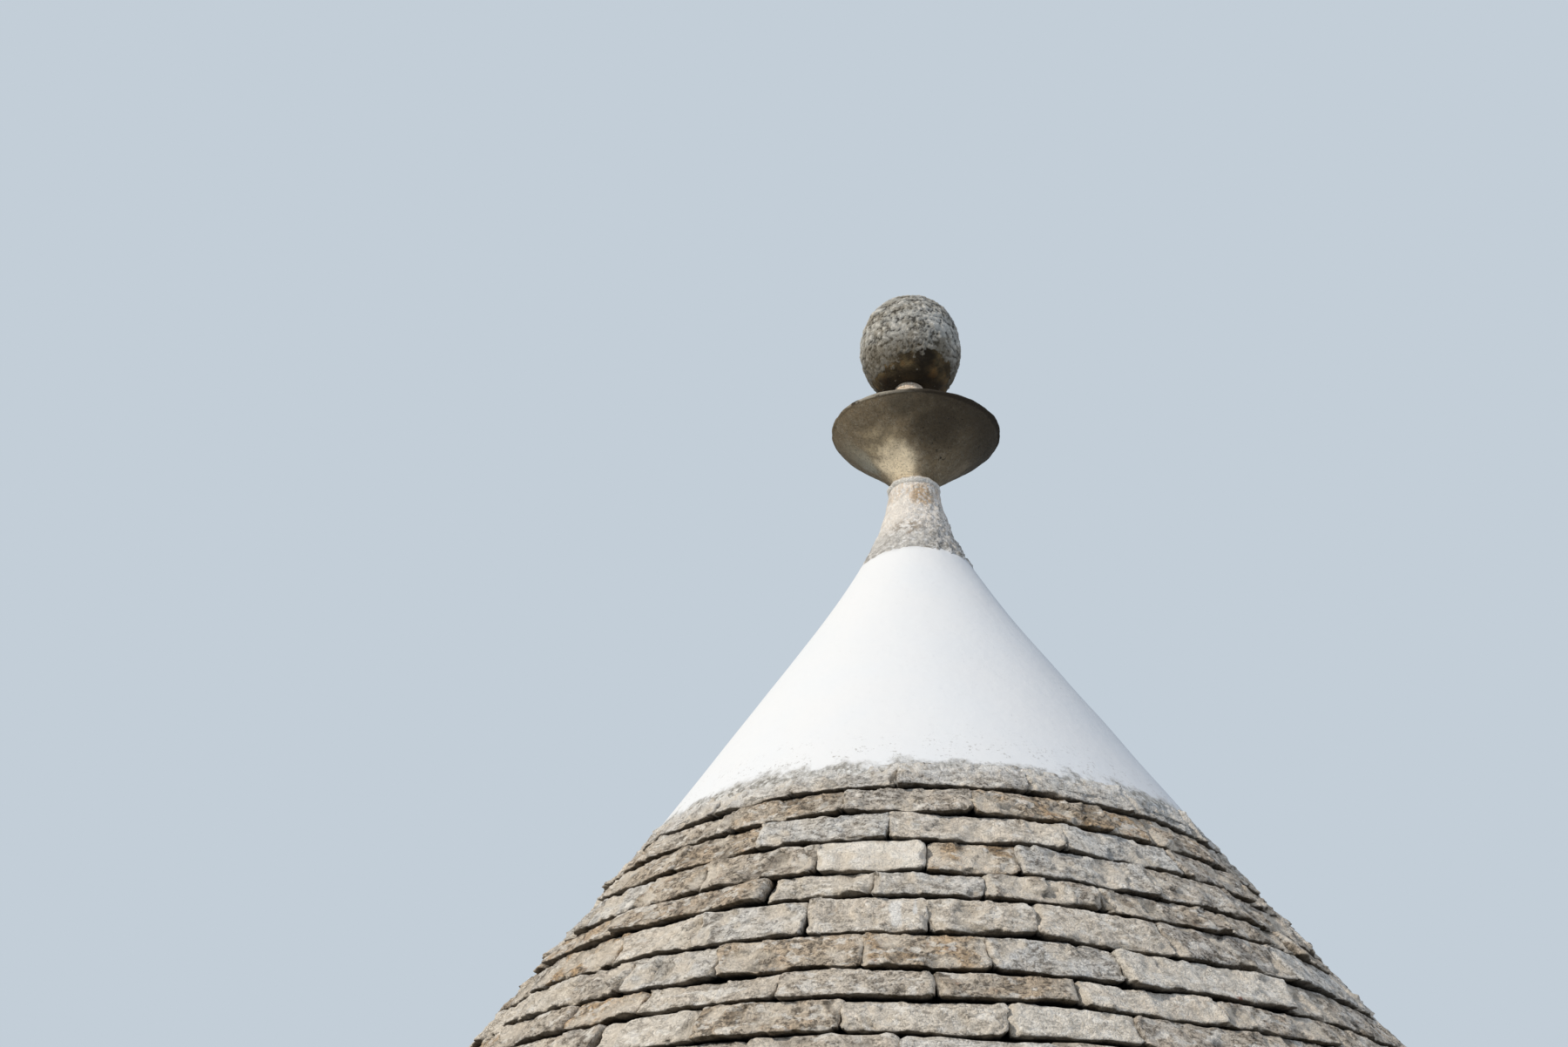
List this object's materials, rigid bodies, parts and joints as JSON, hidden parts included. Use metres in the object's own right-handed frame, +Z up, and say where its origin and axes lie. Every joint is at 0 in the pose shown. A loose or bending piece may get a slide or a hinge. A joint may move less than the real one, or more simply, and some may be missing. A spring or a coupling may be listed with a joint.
{
  "type": "trullo roof cone with pinnacle",
  "caption": "Dry-stone conical roof of a traditional round house, hollow as a corbelled vault, with a plastered top and a turned stone pinnacle of dish and ball.",
  "frame": {"origin": "centre of the springing ring's underside, where the roof rests on the wall head", "axes": "+Z up through the pinnacle; -Y towards the side that the picture shows; +X to the right of it"},
  "size_m": [3.26, 3.26, 3.154],
  "materials": {
    "slabs": "weathered split limestone",
    "vault_stone": "dressed limestone, unweathered",
    "springing_stone": "weathered limestone",
    "packing": "loose limestone rubble",
    "lime_plaster": "limewashed plaster",
    "pinnacle_stone": "carved limestone with worn limewash",
    "dish_stone": "carved limestone, weathered dark",
    "ball_stone": "carved limestone with lichen"
  },
  "bodies": {
    "root": {"springing_ring": "springing_stone", "slab_course_01": "slabs", "slab_course_02": "slabs", "slab_course_03": "slabs", "slab_course_04": "slabs", "slab_course_05": "slabs", "slab_course_06": "slabs", "slab_course_07": "slabs", "slab_course_08": "slabs", "slab_course_09": "slabs", "slab_course_10": "slabs", "slab_course_11": "slabs", "slab_course_12": "slabs", "slab_course_13": "slabs", "slab_course_14": "slabs", "slab_course_15": "slabs", "slab_course_16": "slabs", "slab_course_17": "slabs", "slab_course_18": "slabs", "slab_course_19": "slabs", "slab_course_20": "slabs", "slab_course_21": "slabs", "corbel_ring_01": "vault_stone", "corbel_ring_02": "vault_stone", "corbel_ring_03": "vault_stone", "corbel_ring_04": "vault_stone", "corbel_ring_05": "vault_stone", "corbel_ring_06": "vault_stone", "corbel_ring_07": "vault_stone", "corbel_ring_08": "vault_stone", "closing_slab": "vault_stone", "packing_stones": "packing", "summit_core": "packing", "plaster_cap": "lime_plaster", "pinnacle_neck": "pinnacle_stone", "dish_bed": "lime_plaster", "pinnacle_dish": "dish_stone", "ball_collar": "pinnacle_stone", "pinnacle_ball": "ball_stone"}
  },
  "joints": []
}
